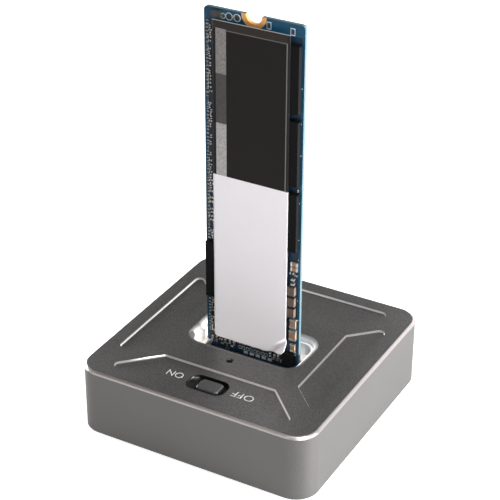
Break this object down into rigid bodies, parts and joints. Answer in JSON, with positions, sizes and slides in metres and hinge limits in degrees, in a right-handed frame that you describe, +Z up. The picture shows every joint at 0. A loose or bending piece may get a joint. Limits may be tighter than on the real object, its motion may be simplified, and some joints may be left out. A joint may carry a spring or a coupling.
{
  "type": "nvme ssd docking station",
  "caption": "Small square aluminium dock that holds a bare M.2 memory card upright in a lined slot, with a slide switch, status light hole and USB-C port.",
  "frame": {"origin": "on the table under the dock's centre, at the feet's undersides", "axes": "+Z up along the card, -Y the face below the switch, +Y the face with the USB-C port"},
  "size_m": [0.054, 0.054, 0.0886],
  "materials": {
    "anodised_aluminium": "fine bead-blasted, dark grey anodised",
    "white_liner": "satin white moulded plastic",
    "black_plastic": "black moulded plastic",
    "knob_plastic": "dark grey satin plastic",
    "rubber": "matt black rubber",
    "screw_steel": "zinc plated",
    "dock_board": "green solder mask",
    "gold": "gold plating",
    "steel": "tin-plated sheet steel",
    "clear_plastic": "clear plastic",
    "led_white": "white package",
    "chip_black": "moulded black package",
    "metal_can": "metal lid",
    "ferrite": "pressed ferrite",
    "ceramic": "tan ceramic",
    "ssd_board_blue": "blue solder mask",
    "brown_ceramic": "brown ceramic",
    "label_sheet": "printed label sheet, bare"
  },
  "bodies": {
    "dock": {"top_housing": "anodised_aluminium", "slot_liner": "white_liner", "bottom_cover": "anodised_aluminium", "cover_screws": "screw_steel", "rubber_feet": "rubber", "main_board": "dock_board", "board_screws": "screw_steel", "connector_housing": "black_plastic", "connector_contacts": "gold", "port_shell": "steel", "port_tongue": "black_plastic", "port_contacts": "gold", "switch_frame": "steel", "switch_base": "black_plastic", "switch_terminals": "steel", "status_led": "led_white", "light_pipe": "clear_plastic", "bridge_chip": "chip_black", "firmware_memory": "chip_black", "crystal": "metal_can", "power_inductor": "ferrite", "voltage_regulators": "chip_black", "board_capacitors": "ceramic"},
    "switch": {"switch_slider": "black_plastic", "switch_knob": "knob_plastic"},
    "ssd": {"ssd_board": "ssd_board_blue", "ssd_edge_contacts": "gold", "ssd_mounting_ring": "gold", "ssd_memory_chips": "chip_black", "ssd_memory_buffer": "chip_black", "ssd_controller": "chip_black", "ssd_power_chip": "chip_black", "ssd_large_capacitors": "brown_ceramic", "ssd_small_capacitors": "ceramic", "ssd_label": "label_sheet"}
  },
  "joints": [
    {"name": "switch_slide", "type": "slide", "parent": "dock", "child": "switch", "axis": [1, 0, 0], "range_m": [-0.0015, 0]},
    {"name": "ssd_pull", "type": "slide", "parent": "dock", "child": "ssd", "axis": [0, 0, 1], "range_m": [0, 0.02]}
  ]
}
